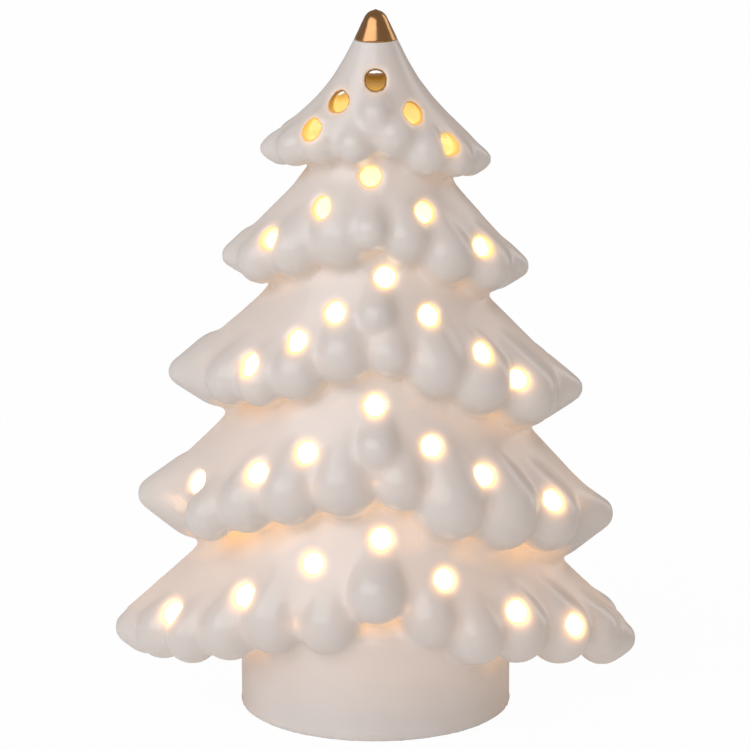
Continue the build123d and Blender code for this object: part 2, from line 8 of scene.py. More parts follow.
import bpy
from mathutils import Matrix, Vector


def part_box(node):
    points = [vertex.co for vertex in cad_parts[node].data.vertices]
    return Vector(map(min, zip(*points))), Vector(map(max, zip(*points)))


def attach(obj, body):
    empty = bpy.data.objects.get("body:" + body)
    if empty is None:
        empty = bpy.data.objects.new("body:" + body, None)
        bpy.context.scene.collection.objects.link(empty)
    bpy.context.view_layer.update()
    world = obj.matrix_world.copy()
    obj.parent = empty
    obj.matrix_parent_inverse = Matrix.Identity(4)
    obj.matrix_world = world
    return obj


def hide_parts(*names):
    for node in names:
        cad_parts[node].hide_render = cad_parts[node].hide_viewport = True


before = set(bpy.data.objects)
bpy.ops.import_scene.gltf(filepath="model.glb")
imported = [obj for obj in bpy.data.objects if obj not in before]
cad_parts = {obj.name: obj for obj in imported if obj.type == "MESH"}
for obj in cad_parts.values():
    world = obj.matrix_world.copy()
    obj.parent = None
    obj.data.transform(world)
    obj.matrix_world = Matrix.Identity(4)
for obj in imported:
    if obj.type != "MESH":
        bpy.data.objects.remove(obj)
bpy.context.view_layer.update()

# %% [markdown]
# ## What the script works with
# A potter and a mould maker think in millimetres, so the tree's own lengths are written as a number of
# millimetres times MM. The depths stored on the skin are plain millimetres, and the studio round the
# tree is in metres. The Standard view shows colours about as they are written, with no film look over
# them.

# %% Tools and units
import math

import bmesh
import bpy
from mathutils import Vector, noise
from mathutils.bvhtree import BVHTree

MM = 0.001
scene = bpy.context.scene
scene.view_settings.view_transform = "Standard"
print("Blender", bpy.app.version_string)

# %% [markdown]
# ## The porcelain, from CAD to glaze
# A cast tree comes out of its mould with crisp creases, and the glaze then fills them and rounds every
# edge. Bevels would need clean edge loops, and a solid that is cut by dozens of holes has none. So the
# solid is remeshed into even little squares further down, and this step makes the copy to work on. CAD
# nodes come in as loose triangles, so doubles are merged first.

# %% A merged copy of a CAD node
WELD = 0.001 * MM


def merged_copy(name):
    body = bmesh.new()
    body.from_mesh(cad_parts[name].data)
    bmesh.ops.remove_doubles(body, verts=body.verts, dist=WELD)
    return body


cast = merged_copy("porcelain_tree")
print("cast porcelain:", len(cast.faces), "triangles")

# %% [markdown]
# ## Outside or inside
# The lamp shines only on the hollow and on the walls of the holes. To know which faces these are, paint
# runs from the tip of a bough over the outside and stops at sharp outer edges, such as the rims of the
# holes and the edge of the recess under the foot. Light then spreads from the lamp over every dry face
# that it can reach. Dry patches on the outside, cut off by sharp edges of their own, stay unlit.

# %% The faces that the lamp shines on
RIM_ANGLE = math.radians(25)
LAMP = Vector((0, 0, 60 * MM))


def spread(start, may_cross):
    """All faces that are reached from one face over the edges that may be crossed."""
    reached = {start}
    front = [start]
    while front:
        for edge in front.pop().edges:
            if may_cross(edge):
                fresh = [face for face in edge.link_faces if face not in reached]
                reached.update(fresh)
                front.extend(fresh)
    return reached


cast.faces.ensure_lookup_table()
cast_surface = BVHTree.FromBMesh(cast)
bough_tip = max(cast.faces, key=lambda face: face.calc_center_median().x)
painted = spread(bough_tip, lambda edge: edge.calc_face_angle_signed(0) <= RIM_ANGLE)
by_lamp = cast.faces[cast_surface.ray_cast(LAMP, Vector((1, 0, 0)))[2]]
hollow = spread(by_lamp, lambda edge: not painted.intersection(edge.link_faces))
is_outside = [face not in hollow for face in cast.faces]
print("outside:", sum(is_outside), "of", len(is_outside), "triangles")

# %% [markdown]
# ## One skin with the gilded tip
# Gold lustre is a film fired onto the glaze, so the tip and the porcelain share one smooth surface. The
# copy of the tip gets a root that reaches down into the spire, then a voxel remesh turns both into one
# closed skin of small squares. It asks nothing of the mesh it gets, and squares of one size smooth
# evenly.

# %% Remesh
VOXEL = 1.45 * MM
TIP_ROOT = 4 * MM
ROOT_SHARE = 0.7
tip_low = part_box("gold_tip")[0]


def linked(name, body):
    """A new object from a bmesh, at the origin and unturned."""
    mesh = bpy.data.meshes.new(name)
    body.to_mesh(mesh)
    made = bpy.data.objects.new(name, mesh)
    scene.collection.objects.link(made)
    return made


def baked(made):
    """The object's mesh with its modifiers applied, as a bmesh; the object goes."""
    graph = bpy.context.evaluated_depsgraph_get()
    body = bmesh.new()
    body.from_mesh(bpy.data.meshes.new_from_object(made.evaluated_get(graph)))
    bpy.data.objects.remove(made)
    return body


tip = merged_copy("gold_tip")
for vert in tip.verts:
    if vert.co.z < tip_low.z + WELD:
        vert.co = Vector((ROOT_SHARE * vert.co.x, ROOT_SHARE * vert.co.y, vert.co.z - TIP_ROOT))
tip_mesh = bpy.data.meshes.new("tip")
tip.to_mesh(tip_mesh)
skin = cast.copy()
skin.from_mesh(tip_mesh)

raw = linked("raw_skin", skin)
remesh = raw.modifiers.new("squares", "REMESH")
remesh.mode = "VOXEL"
remesh.voxel_size = VOXEL
skin = baked(raw)
print("remeshed skin:", len(skin.faces), "faces")

# %% [markdown]
# ## The glaze rounds everything
# Thick glaze runs into creases and draws back from edges. Averaging each point with its neighbours does
# the same: creases fill, edges round off, broad faces stay, and the holes turn from polygons into
# circles. The foot's lowest ring stays as it is, because it is ground flat after firing and stands on
# the table.

# %% Smooth
GLAZE_ROUNDS = 3
SMOOTH_SHARE = 0.5
FOOT_KEEP = 3 * MM


def on_outside(point):
    index = cast_surface.find_nearest(point)[2]
    return is_outside[index] or point.z > tip_low.z


free = [v for v in skin.verts if v.co.z > FOOT_KEEP]
glazed = [v for v in free if on_outside(v.co)]


def smooth(points, rounds):
    for _ in range(rounds):
        bmesh.ops.smooth_vert(skin, verts=points, factor=SMOOTH_SHARE,
                              use_axis_x=True, use_axis_y=True, use_axis_z=True)


smooth(free, GLAZE_ROUNDS)
print("smoothed", len(free), "points,", len(glazed), "of them outside")

# %% [markdown]
# ## Glaze pools in the grooves
# Between the lobes the glaze stands thicker and evens the grooves out, while it stays thin on the
# crests. A much smoother copy of the surface shows where that is: wherever it lies outside the thin
# one, the surface rises part of the way towards it. Crests stay where they are, so nothing grows.

# %% Fill the grooves
POOL_ROUNDS = 20
POOL_SHARE = 0.4
POOL_LIMIT = 1.0 * MM
LAST_ROUNDS = 1

skin.normal_update()
thin_glaze = {vert: (vert.co.copy(), vert.normal.copy()) for vert in free}
smooth(free, POOL_ROUNDS)
pooled = set(glazed)
for vert, (place, normal) in thin_glaze.items():
    rise = (vert.co - place).dot(normal) if vert in pooled else 0.0
    vert.co = place + normal * min(POOL_LIMIT, POOL_SHARE * max(0.0, rise))
smooth(glazed, LAST_ROUNDS)
print("glaze pools up to", POOL_LIMIT / MM, "mm deep")

# %% [markdown]
# ## Made by hand
# Slip casting and sponging leave no face quite even. A slow noise presses the outside in by a few
# tenths of a millimetre. It only ever presses in, so the piece never grows beyond its CAD size.

# %% Press the surface in
DENT = 0.35 * MM
DENT_SPREAD = 17 * MM

skin.normal_update()
for vert in glazed:
    depth = 0.5 + 0.5 * noise.noise(vert.co / DENT_SPREAD)
    vert.co -= vert.normal * DENT * max(0.0, depth)
print("pressed in by up to", DENT / MM, "mm")

# %% [markdown]
# ## The paint line
# The gold ends in a sharp line where the brush stopped. A plane cuts the skin there, each half is
# closed with a lid, and gold and porcelain are two pieces again, as in the CAD model.

# %% Part the tip from the porcelain
def part_at(body, height):
    """The piece of a body above a height and the piece below it, both closed."""
    pieces = []
    for up in (1, -1):
        piece = body.copy()
        everything = piece.verts[:] + piece.edges[:] + piece.faces[:]
        cut = bmesh.ops.bisect_plane(piece, geom=everything, plane_co=(0, 0, height), plane_no=(0, 0, up),
                                     clear_inner=True)
        rim = [item for item in cut["geom_cut"] if isinstance(item, bmesh.types.BMEdge)]
        bmesh.ops.holes_fill(piece, edges=rim, sides=0)
        pieces.append(piece)
    return pieces


gilded, shell = part_at(skin, tip_low.z)
print("gilded tip:", len(gilded.faces), "faces, porcelain:", len(shell.faces))

# %% [markdown]
# ## Fewer triangles where nobody looks
# The hollow is seen only through the holes, or from below when the lamp unit is out. A Decimate
# modifier on a vertex group thins it out there and leaves the outside alone, which keeps the piece
# light enough for a library.

# %% Thin out the hollow
KEEP_SHARE = 0.6

shell_object = linked("porcelain_shell", shell)
unseen = shell_object.vertex_groups.new(name="unseen")
unseen.add([v.index for v in shell_object.data.vertices if not on_outside(v.co)], 1.0, "REPLACE")
thin = shell_object.modifiers.new("thin", "DECIMATE")
thin.ratio = KEEP_SHARE
thin.vertex_group = "unseen"
shell = baked(shell_object)
print("porcelain after thinning:", sum(len(f.verts) - 2 for f in shell.faces), "triangles")

# %% [markdown]
# ## How much light comes through
# Porcelain glows where the lamp is near behind it: round the holes and where the wall is thin, while
# the solid lobes stay grey. Tracing light through the wall would be slow and noisy, so each point of
# the skin stores how deep it lies inside: a hole's rim is 0, the hollow is as deep as the wall is
# thick, and a point outside is below 0 by its distance from the lit faces. The material turns that
# number into light.

# %% Store the depth behind the outside
LIT_FLOOR = 20 * MM


def surface_of(faces):
    corners = [[v.index for v in face.verts] for face in faces]
    return BVHTree.FromPolygons([v.co for v in cast.verts], corners)


def stored(mesh, name, values):
    attribute = mesh.attributes.new(name, "FLOAT", "POINT")
    attribute.data.foreach_set("value", values)


cast.verts.index_update()
outer = surface_of([face for face in cast.faces if face not in hollow])
lit = surface_of([face for face in cast.faces
                  if face in hollow and face.calc_center_median().z > LIT_FLOOR])
depths = [(outer.find_nearest(v.co)[3] - lit.find_nearest(v.co)[3]) / MM for v in shell.verts]
print("depths from", round(min(depths), 1), "to", round(max(depths), 1), "mm")

# %% [markdown]
# ## Light caught in the nooks
# Under each hem the porcelain faces more porcelain, so the light that leaves the wall there is caught
# and comes back, and nooks shine a warm yellow. A nook is a place from which most of the room is
# hidden: a few rays go out from each point, and the share that hits the tree again within a short way
# is its nook value.

# %% Store how hidden each point is
RAYS = 24
NOOK_REACH = 26 * MM
NOOK_START = 0.6 * MM
NOOK_ROUNDS = 5
GOLDEN_TURN = math.pi * (3 - math.sqrt(5))

rays = []
for number in range(RAYS):
    rise = 1 - (2 * number + 1) / RAYS
    across = math.sqrt(1 - rise * rise)
    turn = GOLDEN_TURN * number
    rays.append(Vector((across * math.cos(turn), across * math.sin(turn), rise)))


def hidden_share(vert):
    start = vert.co + vert.normal * NOOK_START
    hits = 0
    for ray in rays:
        way = ray if ray.dot(vert.normal) > 0 else -ray
        hits += cast_surface.ray_cast(start, way, NOOK_REACH)[0] is not None
    return hits / RAYS


shell.normal_update()
shell.verts.ensure_lookup_table()
nooks = [hidden_share(vert) if depth < 0 else 0.0 for vert, depth in zip(shell.verts, depths)]
neighbours = [[edge.other_vert(vert).index for edge in vert.link_edges] for vert in shell.verts]
for _ in range(NOOK_ROUNDS):
    nooks = [(nooks[own] + sum(nooks[other] for other in others)) / (1 + len(others))
             for own, others in enumerate(neighbours)]

shell_object = linked("porcelain_shell", shell)
shell_mesh = shell_object.data
stored(shell_mesh, "depth", depths)
stored(shell_mesh, "nook", nooks)
print("nooks up to", round(max(nooks), 2))

# %% [markdown]
# ## Materials: a few small helpers
# Colours are written as sRGB hex values, the way a paint chart gives them, and Blender wants them
# linear. The node helper adds one node with its settings and links, so that a material reads as a list
# of nodes.

# %% Colour and node helpers
TONE_A, TONE_B, TONE = 6, 7, 2      # a Mix node's colour sockets: two in, one out


def linear(hex_colour):
    channels = [int(hex_colour[i:i + 2], 16) / 255 for i in (0, 2, 4)]
    return (*[c / 12.92 if c <= 0.04045 else ((c + 0.055) / 1.055) ** 2.4 for c in channels], 1.0)


def node(tree, kind, inputs=None, **settings):
    made = tree.nodes.new(kind)
    for name, value in settings.items():
        setattr(made, name, value)
    for socket, value in (inputs or {}).items():
        if isinstance(value, bpy.types.NodeSocket):
            tree.links.new(value, made.inputs[socket])
        else:
            made.inputs[socket].default_value = value
    return made


def set_stops(ramp, stops):
    """Gives a colour ramp its stops, as (position, hex colour)."""
    while len(ramp.elements) > 1:
        ramp.elements.remove(ramp.elements[-1])
    for index, (position, colour) in enumerate(stops):
        stop = ramp.elements[0] if index == 0 else ramp.elements.new(position)
        stop.position = position
        stop.color = linear(colour)


def new_material(name):
    material = bpy.data.materials.new(name)
    material.use_nodes = True
    tree = material.node_tree
    return material, tree, tree.nodes["Principled BSDF"]


print("sRGB 808080 is", round(linear("808080")[0], 3), "in linear light")

# %% [markdown]
# ## Glazed porcelain
# The clear glaze over white porcelain gives broad soft highlights and a faint unevenness. The lamp
# stands low in the foot, so its light falls off towards the tip: the lowest holes are white, the side
# holes of the top tier are golden, and the topmost hole is only a dark golden brown. Light that has
# come through the wall is warm, because porcelain lets red light through best.

# %% Porcelain material
TREE_HEIGHT = 280 * MM
LAMP_STRENGTH = 2.5
WALL_REACH = 2.4          # mm of porcelain that take away two thirds of the light
HALO_REACH = 1.1          # mm, how far light creeps from the rim of a hole
RIM_START = -0.3          # mm, depth where a hole's light begins
RIM_FULL = 0.9            # mm, depth where it is full
HOLE_DEPTH = 4.0          # mm, from the rim of a hole to the hollow
OPEN_SHARE = 0.3          # a place that is hidden less than this is no nook
HOLLOW_LIGHT = ((18, "000000"), (34, "FFF4E2"), (90, "F2E8D4"), (150, "E6DABC"), (205, "D2C08E"),
                (226, "B89C60"), (240, "AA8C4E"), (244, "866527"), (248, "573B10"), (259, "2C1C06"))
WALL_LIGHT = ((8, "000000"), (26, "E0E0E0"), (45, "FFFFFF"),
              (90, "E8E8E8"), (170, "B4B4B4"), (280, "606060"))
RIM_LIGHT = ((0.0, "DDB474"), (0.3, "F4DCAC"), (0.65, "FFF3DA"), (1.0, "FFFFFF"))
WALL_GLOW = "785036"
HALO_GLOW = "9C7C40"
NOOK_GLOW = "9A7240"
GLAZE_CLOUD = 24 * MM
GLAZE_GLOSS = (0.18, 0.3)


def over_height(tree, up, stops):
    """A colour that changes with the height over the table, from stops in millimetres."""
    made = node(tree, "ShaderNodeValToRGB", {"Fac": up})
    set_stops(made.color_ramp, [(height * MM / TREE_HEIGHT, colour) for height, colour in stops])
    return made.outputs[0]


def fading(tree, distance, reach):
    """exp(-distance / reach): 1 at the lit face, and a third of it one reach further."""
    ratio = node(tree, "ShaderNodeMath", {0: distance, 1: -reach}, operation="DIVIDE")
    return node(tree, "ShaderNodeMath", {0: ratio.outputs[0]}, operation="EXPONENT").outputs[0]


def glazed_porcelain():
    # porcelain under a clear gloss glaze: white with a warm cast, softly mirrored lamps, no grain to see
    material, tree, surface = new_material("glazed_porcelain")
    place = node(tree, "ShaderNodeTexCoord").outputs["Object"]
    height = node(tree, "ShaderNodeSeparateXYZ", {0: place}).outputs["Z"]
    up = node(tree, "ShaderNodeMapRange", {"Value": height, "From Max": TREE_HEIGHT}).outputs[0]
    depth = node(tree, "ShaderNodeAttribute", attribute_name="depth").outputs["Fac"]
    hidden = node(tree, "ShaderNodeAttribute", attribute_name="nook").outputs["Fac"]
    nook = node(tree, "ShaderNodeMapRange", {"Value": hidden, "From Min": OPEN_SHARE}).outputs[0]
    entered = node(tree, "ShaderNodeMapRange", {"Value": depth, "From Min": RIM_START, "From Max": RIM_FULL})
    inside = entered.outputs[0]

    mottle = node(tree, "ShaderNodeTexNoise", {"Vector": place, "Scale": 1 / GLAZE_CLOUD, "Detail": 3})
    cloud = mottle.outputs["Fac"]
    tint = node(tree, "ShaderNodeMix", {"Factor": cloud, TONE_A: linear("E0D8D2"), TONE_B: linear("D6CCC5")},
                data_type="RGBA")
    # inside the hollow the base colour is a painted shade, a dark brown, so that the studio lamps hardly
    # light it and only the lamp light painted as emission shows there
    outside_in = {"Factor": inside, TONE_A: tint.outputs[TONE], TONE_B: linear("5A4428")}
    glaze_tone_and_painted_hollow_shade = node(tree, "ShaderNodeMix", outside_in, data_type="RGBA")
    tree.links.new(glaze_tone_and_painted_hollow_shade.outputs[TONE], surface.inputs["Base Color"])
    smoothest, dullest = GLAZE_GLOSS
    gloss = node(tree, "ShaderNodeMapRange", {"Value": cloud, "To Min": smoothest, "To Max": dullest})
    tree.links.new(gloss.outputs[0], surface.inputs["Roughness"])

    below = node(tree, "ShaderNodeMath", {0: depth, 1: -1.0}, operation="MULTIPLY").outputs[0]
    distance = node(tree, "ShaderNodeMath", {0: below, 1: 0.0}, operation="MAXIMUM").outputs[0]
    through = None
    for colour, amount in ((WALL_GLOW, fading(tree, distance, WALL_REACH)),
                           (HALO_GLOW, fading(tree, distance, HALO_REACH)), (NOOK_GLOW, nook)):
        scaled = {0: linear(colour)[:3], "Scale": amount}
        part = node(tree, "ShaderNodeVectorMath", scaled, operation="SCALE").outputs[0]
        if through:
            part = node(tree, "ShaderNodeVectorMath", {0: through, 1: part}, operation="ADD").outputs[0]
        through = part
    glow = node(tree, "ShaderNodeVectorMath", {0: through, 1: over_height(tree, up, WALL_LIGHT)},
                operation="MULTIPLY")
    into = node(tree, "ShaderNodeMapRange", {"Value": depth, "From Max": HOLE_DEPTH})
    rim = node(tree, "ShaderNodeValToRGB", {"Fac": into.outputs[0]})
    set_stops(rim.color_ramp, RIM_LIGHT)
    opening = node(tree, "ShaderNodeVectorMath", {0: over_height(tree, up, HOLLOW_LIGHT), 1: rim.outputs[0]},
                   operation="MULTIPLY")
    wall_or_hole = {"Factor": inside, TONE_A: glow.outputs[0], TONE_B: opening.outputs[0]}
    light = node(tree, "ShaderNodeMix", wall_or_hole, data_type="RGBA")
    tree.links.new(light.outputs[TONE], surface.inputs["Emission Color"])
    surface.inputs["Emission Strength"].default_value = LAMP_STRENGTH
    material.cycles.emission_sampling = "NONE"
    return material


def dressed(made, body, slot, material, *nodes):
    """Gives a finished piece its material and its body, and hides the CAD nodes that it stands for; the slot
    is not used.
    """
    made.data.materials.clear()
    made.data.materials.append(material)
    made.data.shade_smooth()
    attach(made, body)
    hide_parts(*nodes)


dressed(shell_object, "tree", "porcelain", glazed_porcelain(), "porcelain_tree")
print("porcelain_shell:", len(shell_mesh.polygons), "faces")

# %% [markdown]
# ## Gold lustre
# Liquid bright gold, brushed on and fired, is a mirror with the waviness of the glaze under it. A metal
# shows nothing but its surroundings, so its bands come from the lamps further down. A fine noise in the
# gloss and a wavy bump keep the mirror from looking machined.

# %% Gold material
BRUSH_MARK = 5 * MM
LUSTRE_GLOSS = (0.16, 0.26)
LUSTRE_WAVE = 0.3 * MM


def gold_lustre():
    # fired gold film on glaze: a warm mirror with soft waves
    material, tree, surface = new_material("gold_lustre")
    place = node(tree, "ShaderNodeTexCoord").outputs["Object"]
    strokes = node(tree, "ShaderNodeTexNoise", {"Vector": place, "Scale": 1 / BRUSH_MARK, "Detail": 2})
    brush = strokes.outputs["Fac"]
    tint = node(tree, "ShaderNodeMix", {"Factor": brush, TONE_A: linear("BC8F62"), TONE_B: linear("AE8052")},
                data_type="RGBA")
    tree.links.new(tint.outputs[TONE], surface.inputs["Base Color"])
    smoothest, dullest = LUSTRE_GLOSS
    gloss = node(tree, "ShaderNodeMapRange", {"Value": brush, "To Min": smoothest, "To Max": dullest})
    tree.links.new(gloss.outputs[0], surface.inputs["Roughness"])
    wave = node(tree, "ShaderNodeBump", {"Height": brush, "Strength": 0.3, "Distance": LUSTRE_WAVE})
    tree.links.new(wave.outputs[0], surface.inputs["Normal"])
    surface.inputs["Metallic"].default_value = 1.0
    return material


gilded_object = linked("gold_lustre_tip", gilded)
dressed(gilded_object, "tree", "gold_lustre", gold_lustre(), "gold_tip")
print("gold_lustre_tip:", len(gilded_object.data.polygons), "faces")

# %% [markdown]
# ## The mouldings of the lamp unit
# The lamp unit shows when it is pulled out of the foot. Its base, cover and battery door are moulded in
# white ABS, and a mould always leaves a small radius on every edge, which catches a line of light. The
# edges could be bevelled by hand, but a Bevel modifier finds them by their angle. It needs whole faces,
# so a copy of the CAD node gets its flat triangles joined first.

# %% Eased edges
EASE = 0.2 * MM
FLAT = math.radians(0.5)
SHARP = math.radians(45)


def eased(name):
    piece = merged_copy(name)
    bmesh.ops.dissolve_limit(piece, angle_limit=FLAT, verts=piece.verts, edges=piece.edges)
    made = linked(name + "_eased", piece)
    bevel = made.modifiers.new("eased_edges", "BEVEL")
    bevel.width = EASE
    bevel.segments = 2
    bevel.limit_method = "ANGLE"
    bevel.angle_limit = SHARP
    bevel.harden_normals = True
    print(made.name, "has", len(piece.faces), "faces before its bevel")
    return made

# %% [markdown]
# ## Finishes with a grain
# ABS, silicone, plating and insulation differ in colour, gloss and grain, yet each is a base tone with
# slow clouds, a gloss that wanders a little and a fine grain. One function builds that, and each finish
# gives it the tones and the real size of its grain. Grains finer than about a third of a millimetre are
# drawn coarser than they are, so that they show at all.

# %% One recipe for grained finishes
CLOUD_SIZE = 9 * MM
GRAIN_STRENGTH = 0.25
GRAIN_HEIGHT = 0.1        # share of the grain's size


def grained(name, pale, deep, grain, gloss, metallic=0.0):
    material, tree, surface = new_material(name)
    place = node(tree, "ShaderNodeTexCoord").outputs["Object"]
    slow = node(tree, "ShaderNodeTexNoise", {"Vector": place, "Scale": 1 / CLOUD_SIZE, "Detail": 4})
    quick = node(tree, "ShaderNodeTexNoise", {"Vector": place, "Scale": 1 / grain, "Detail": 2})
    cloud, fine = slow.outputs["Fac"], quick.outputs["Fac"]
    tint = node(tree, "ShaderNodeMix", {"Factor": cloud, TONE_A: linear(pale), TONE_B: linear(deep)},
                data_type="RGBA")
    tree.links.new(tint.outputs[TONE], surface.inputs["Base Color"])
    rough = node(tree, "ShaderNodeMapRange", {"Value": fine, "To Min": gloss[0], "To Max": gloss[1]})
    tree.links.new(rough.outputs[0], surface.inputs["Roughness"])
    tooth = GRAIN_HEIGHT * grain
    bump = node(tree, "ShaderNodeBump", {"Height": fine, "Strength": GRAIN_STRENGTH, "Distance": tooth})
    tree.links.new(bump.outputs[0], surface.inputs["Normal"])
    surface.inputs["Metallic"].default_value = metallic
    return material


# white ABS from a spark-eroded mould: even and satin, with a grain that breaks up its highlights
moulded_abs = grained("moulded_white_abs", "EDECE7", "E2E0DA", 0.4 * MM, (0.38, 0.5))
mouldings = (("lamp_base", "lamp_unit"), ("lamp_cover", "lamp_unit"), ("battery_door", "battery_door"))
for name, body in mouldings:
    dressed(eased(name), body, "white_plastic", moulded_abs, name)

# %% [markdown]
# ## Ring, switch and board
# The ring that grips the foot is soft silicone, duller than the ABS. The switch is black ABS with a
# knob that is rubbed a little shinier by fingers. The lamp board is glass laminate under white solder
# resist, a smooth lacquer in which the copper tracks stand out as faint lines.

# %% Ring, switch and board
TRACK_PITCH = 2.6 * MM
TRACK_EDGES = (0.45, 0.6)
WAVE_RATE = 20            # radians that a Wave texture of scale 1 runs through in a metre
TRACK_HEIGHT = 0.04 * MM

# soft silicone: matt and slightly milky, with dust-fine tooth
silicone = grained("matt_silicone", "D6D5CF", "C6C5BF", 0.35 * MM, (0.62, 0.75))
dressed(eased("seal_ring"), "lamp_unit", "silicone", silicone, "seal_ring")

# black ABS: near black with grey sheen at its edges
black_abs = grained("moulded_black_abs", "1E1F21", "151618", 0.4 * MM, (0.36, 0.52))
dressed(eased("switch_body"), "lamp_unit", "black_plastic", black_abs, "switch_body")
rubbed_abs = grained("rubbed_black_abs", "232427", "191A1C", 0.6 * MM, (0.24, 0.38))
dressed(eased("switch_knob"), "switch_knob", "black_plastic", rubbed_abs, "switch_knob")


def solder_resist():
    # white lacquer over copper: glossy, with faint greenish-grey bands where the tracks run underneath
    material, tree, surface = new_material("white_solder_resist")
    place = node(tree, "ShaderNodeTexCoord").outputs["Object"]
    rings = {"Vector": place, "Scale": math.tau / (WAVE_RATE * TRACK_PITCH), "Distortion": 1.5, "Detail": 1}
    bands = node(tree, "ShaderNodeTexWave", rings, wave_type="RINGS")
    start, full = TRACK_EDGES
    band = bands.outputs["Fac"]
    track = node(tree, "ShaderNodeMapRange", {"Value": band, "From Min": start, "From Max": full}).outputs[0]
    tint = node(tree, "ShaderNodeMix", {"Factor": track, TONE_A: linear("ECEFE8"), TONE_B: linear("DDE2D8")},
                data_type="RGBA")
    tree.links.new(tint.outputs[TONE], surface.inputs["Base Color"])
    gloss = node(tree, "ShaderNodeMapRange", {"Value": track, "To Min": 0.3, "To Max": 0.22})
    tree.links.new(gloss.outputs[0], surface.inputs["Roughness"])
    raised = node(tree, "ShaderNodeBump", {"Height": track, "Strength": 0.4, "Distance": TRACK_HEIGHT})
    tree.links.new(raised.outputs[0], surface.inputs["Normal"])
    return material


dressed(eased("led_board"), "lamp_unit", "board", solder_resist(), "led_board")

# %% [markdown]
# ## Metal and wire
# Screws, contacts, pins and leads keep their CAD shape, because it is fine enough for how they are
# seen, and only take a finish. Zinc plating is bluish and a little cloudy, nickel is warmer and
# brighter, tin is dull.

# %% Metal and wire
def finished(material, *names):
    """Gives CAD nodes a material in place of the plain one that they came with."""
    for name in names:
        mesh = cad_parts[name].data
        mesh.materials.clear()
        mesh.materials.append(material)
    print(material.name, "on", ", ".join(names))


# zinc plate on steel: cool grey metal with cloudy gloss
finished(grained("zinc_plated_steel", "C4C8CC", "A9ADB2", 0.5 * MM, (0.25, 0.42), 1.0),
         "cover_screws", "board_screws", "switch_screws")
# nickel plate on spring steel: bright and faintly yellow
finished(grained("nickel_plate", "D2CCBF", "BDB6A8", 0.4 * MM, (0.16, 0.3), 1.0),
         "positive_terminal", "negative_terminal", "bridge_plate_left", "bridge_plate_right",
         "contact_springs")
# tin over brass: pale, dull, with brass showing through in the clouds
finished(grained("tinned_brass", "CFC8B4", "B39F6E", 0.4 * MM, (0.3, 0.45), 1.0), "switch_pins")
# soft PVC over copper strands: smooth and slightly waxy
finished(grained("red_pvc", "B3241F", "931A17", 0.5 * MM, (0.32, 0.42)), "wire_battery", "wire_switch")
finished(grained("black_pvc", "1D1D1F", "121214", 0.5 * MM, (0.32, 0.42)), "wire_return")

# %% [markdown]
# ## Cells
# A cell is a steel can in a shrunk plastic sleeve that leaves both ends bare. The sleeve is drawn by
# the place along the cell: bare steel at the ends, a copper-coloured collar at the plus end and a dark
# blue body. It is plain, with no print on it.

# %% Cells
BARE_END = 1.3 * MM
COLLAR = 12 * MM
SLEEVE_CLOUD = 6 * MM


def sleeved_cell(name, plus_side):
    # glossy shrink sleeve over a steel can: a long hard highlight, with dull metal showing at the ends
    material, tree, surface = new_material("sleeved_" + name)
    low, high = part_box(name)
    place = node(tree, "ShaderNodeTexCoord").outputs["Object"]
    along = node(tree, "ShaderNodeSeparateXYZ", {0: place}).outputs["X"]
    middle, half = (low.x + high.x) / 2, (high.x - low.x) / 2
    offset = node(tree, "ShaderNodeMath", {0: along, 1: middle}, operation="SUBTRACT").outputs[0]
    away = node(tree, "ShaderNodeMath", {0: offset}, operation="ABSOLUTE").outputs[0]
    past_sleeve = {0: away, 1: half - BARE_END}
    bare = node(tree, "ShaderNodeMath", past_sleeve, operation="GREATER_THAN").outputs[0]
    to_plus = node(tree, "ShaderNodeMath", {0: offset, 1: plus_side}, operation="MULTIPLY").outputs[0]
    near_plus = {0: to_plus, 1: half - COLLAR}
    collar = node(tree, "ShaderNodeMath", near_plus, operation="GREATER_THAN").outputs[0]
    mottle = node(tree, "ShaderNodeTexNoise", {"Vector": place, "Scale": 1 / SLEEVE_CLOUD, "Detail": 3})
    cloud = mottle.outputs["Fac"]
    blue = node(tree, "ShaderNodeMix", {"Factor": cloud, TONE_A: linear("274056"), TONE_B: linear("1E3347")},
                data_type="RGBA")
    coppery = {"Factor": collar, TONE_A: blue.outputs[TONE], TONE_B: linear("B07A4C")}
    sleeve = node(tree, "ShaderNodeMix", coppery, data_type="RGBA")
    steel_ends = {"Factor": bare, TONE_A: sleeve.outputs[TONE], TONE_B: linear("B9BABC")}
    tint = node(tree, "ShaderNodeMix", steel_ends, data_type="RGBA")
    tree.links.new(tint.outputs[TONE], surface.inputs["Base Color"])
    tree.links.new(bare, surface.inputs["Metallic"])
    gloss = node(tree, "ShaderNodeMapRange", {"Value": cloud, "To Min": 0.2, "To Max": 0.34})
    tree.links.new(gloss.outputs[0], surface.inputs["Roughness"])
    finished(material, name)


for name, plus_side in (("battery_1", 1), ("battery_2", -1), ("battery_3", 1)):
    sleeved_cell(name, plus_side)

# %% [markdown]
# ## Lamps and resistor
# The lamps are clear resin domes over a yellow phosphor, so they are brightest in the middle of the
# dome and yellower round the rim at the board. The resistor is a chip of black-glazed ceramic with
# tinned ends.

# %% Lamps and resistor
DOME_LIGHT = ((0.0, "B9772A"), (0.25, "E8B25C"), (0.7, "FFE9C2"), (1.0, "FFF6E4"))
DOME_STRENGTH = 1.6
TINNED_END = 0.5 * MM
CHIP_GRAIN = 0.5 * MM


